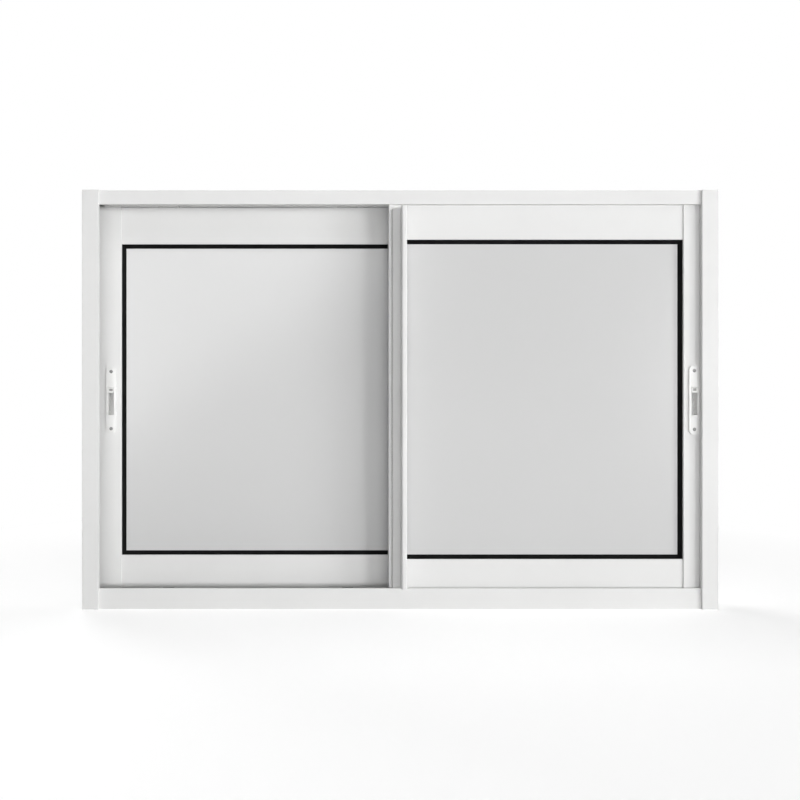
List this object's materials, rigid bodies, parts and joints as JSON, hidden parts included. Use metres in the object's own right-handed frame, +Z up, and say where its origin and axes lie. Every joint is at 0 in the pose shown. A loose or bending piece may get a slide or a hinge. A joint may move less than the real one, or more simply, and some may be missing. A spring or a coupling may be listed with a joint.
{
  "type": "horizontal sliding window",
  "caption": "Wide two-track sliding window: slim white aluminium frame, glazed sashes with black gaskets, flush latches and a pull grip along the meeting stile.",
  "frame": {"origin": "underside of the sill, in the middle of the frame's length and depth", "axes": "+X along the tracks to the right as seen from the room, +Y from the room to the outside, +Z up"},
  "size_m": [1.19, 0.109, 0.785],
  "materials": {
    "white_aluminium": "white satin powder coat",
    "white_enamel": "white gloss enamel on die-cast metal",
    "white_plastic": "white moulded plastic",
    "satin_glass": "satin obscured glass, light grey",
    "black_rubber": "matte black",
    "grey_nylon": "grey nylon",
    "zinc_steel": "zinc plated"
  },
  "bodies": {
    "root": {"left_jamb": "white_aluminium", "right_jamb": "white_aluminium", "head_track": "white_aluminium", "sill_track": "white_aluminium", "left_corner_screws": "zinc_steel", "right_corner_screws": "zinc_steel", "left_keeper": "zinc_steel", "right_keeper": "zinc_steel", "left_sash_lock_stile": "white_aluminium", "left_sash_meeting_stile": "white_aluminium", "left_sash_interlock": "white_aluminium", "left_sash_top_rail": "white_aluminium", "left_sash_bottom_rail": "white_aluminium", "left_sash_top_end_cap": "white_plastic", "left_sash_bottom_end_cap": "white_plastic", "left_sash_glass": "satin_glass", "left_sash_room_gasket": "black_rubber", "left_sash_weather_gasket": "black_rubber", "left_sash_latch_plate": "white_enamel", "left_sash_latch_cup": "white_enamel", "left_sash_latch_snib": "white_plastic", "left_sash_roller_wheels": "grey_nylon", "left_sash_roller_housings": "zinc_steel", "left_sash_guide_blocks": "grey_nylon", "right_sash_lock_stile": "white_aluminium", "right_sash_meeting_stile": "white_aluminium", "right_sash_interlock": "white_aluminium", "right_sash_top_rail": "white_aluminium", "right_sash_bottom_rail": "white_aluminium", "right_sash_top_end_cap": "white_plastic", "right_sash_bottom_end_cap": "white_plastic", "right_sash_glass": "satin_glass", "right_sash_room_gasket": "black_rubber", "right_sash_weather_gasket": "black_rubber", "right_sash_latch_plate": "white_enamel", "right_sash_latch_cup": "white_enamel", "right_sash_latch_snib": "white_plastic", "right_sash_roller_wheels": "grey_nylon", "right_sash_roller_housings": "zinc_steel", "right_sash_guide_blocks": "grey_nylon"}
  },
  "joints": []
}
